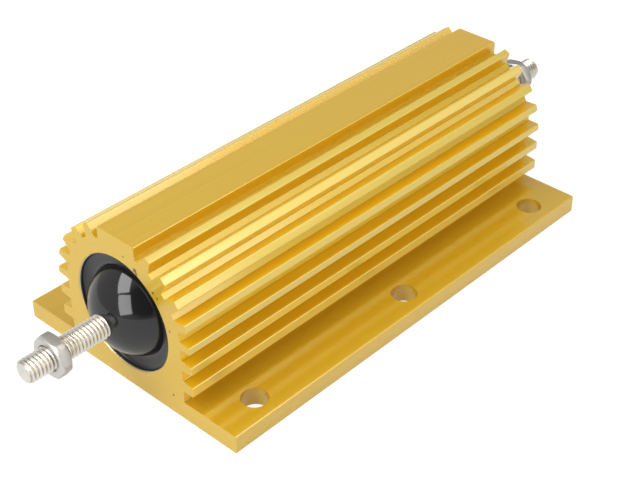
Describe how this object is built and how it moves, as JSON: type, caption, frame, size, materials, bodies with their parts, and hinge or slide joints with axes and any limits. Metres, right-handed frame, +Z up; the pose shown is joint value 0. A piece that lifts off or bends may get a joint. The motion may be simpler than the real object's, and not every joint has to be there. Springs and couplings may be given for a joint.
{
  "type": "aluminium housed power resistor",
  "caption": "Wirewound power resistor moulded into a finned, gold anodised aluminium housing with a flat drilled base and a threaded stud terminal at each end.",
  "frame": {"origin": "centre of the base's underside", "axes": "+X along the housing from the front stud to the rear stud, +Y across the base, +Z up from the base to the flat land on the back"},
  "size_m": [0.183, 0.0712, 0.0411],
  "materials": {
    "gold_anodised_aluminium": "matte gold anodised extrusion with sawn ends",
    "black_moulding_compound": "glossy black moulding compound",
    "steatite": "unglazed off-white steatite",
    "resistance_alloy": "drawn copper-nickel ribbon",
    "cap_steel": "pressed and deburred",
    "plated_steel": "bright nickel plated thread",
    "nut_steel": "satin plated"
  },
  "bodies": {
    "root": {"housing": "gold_anodised_aluminium", "moulded_insulation": "black_moulding_compound", "ceramic_core": "steatite", "resistance_winding": "resistance_alloy", "rear_end_cap": "cap_steel", "front_end_cap": "cap_steel", "rear_terminal_stud": "plated_steel", "front_terminal_stud": "plated_steel", "rear_terminal_nut": "nut_steel", "front_terminal_nut": "nut_steel"}
  },
  "joints": []
}
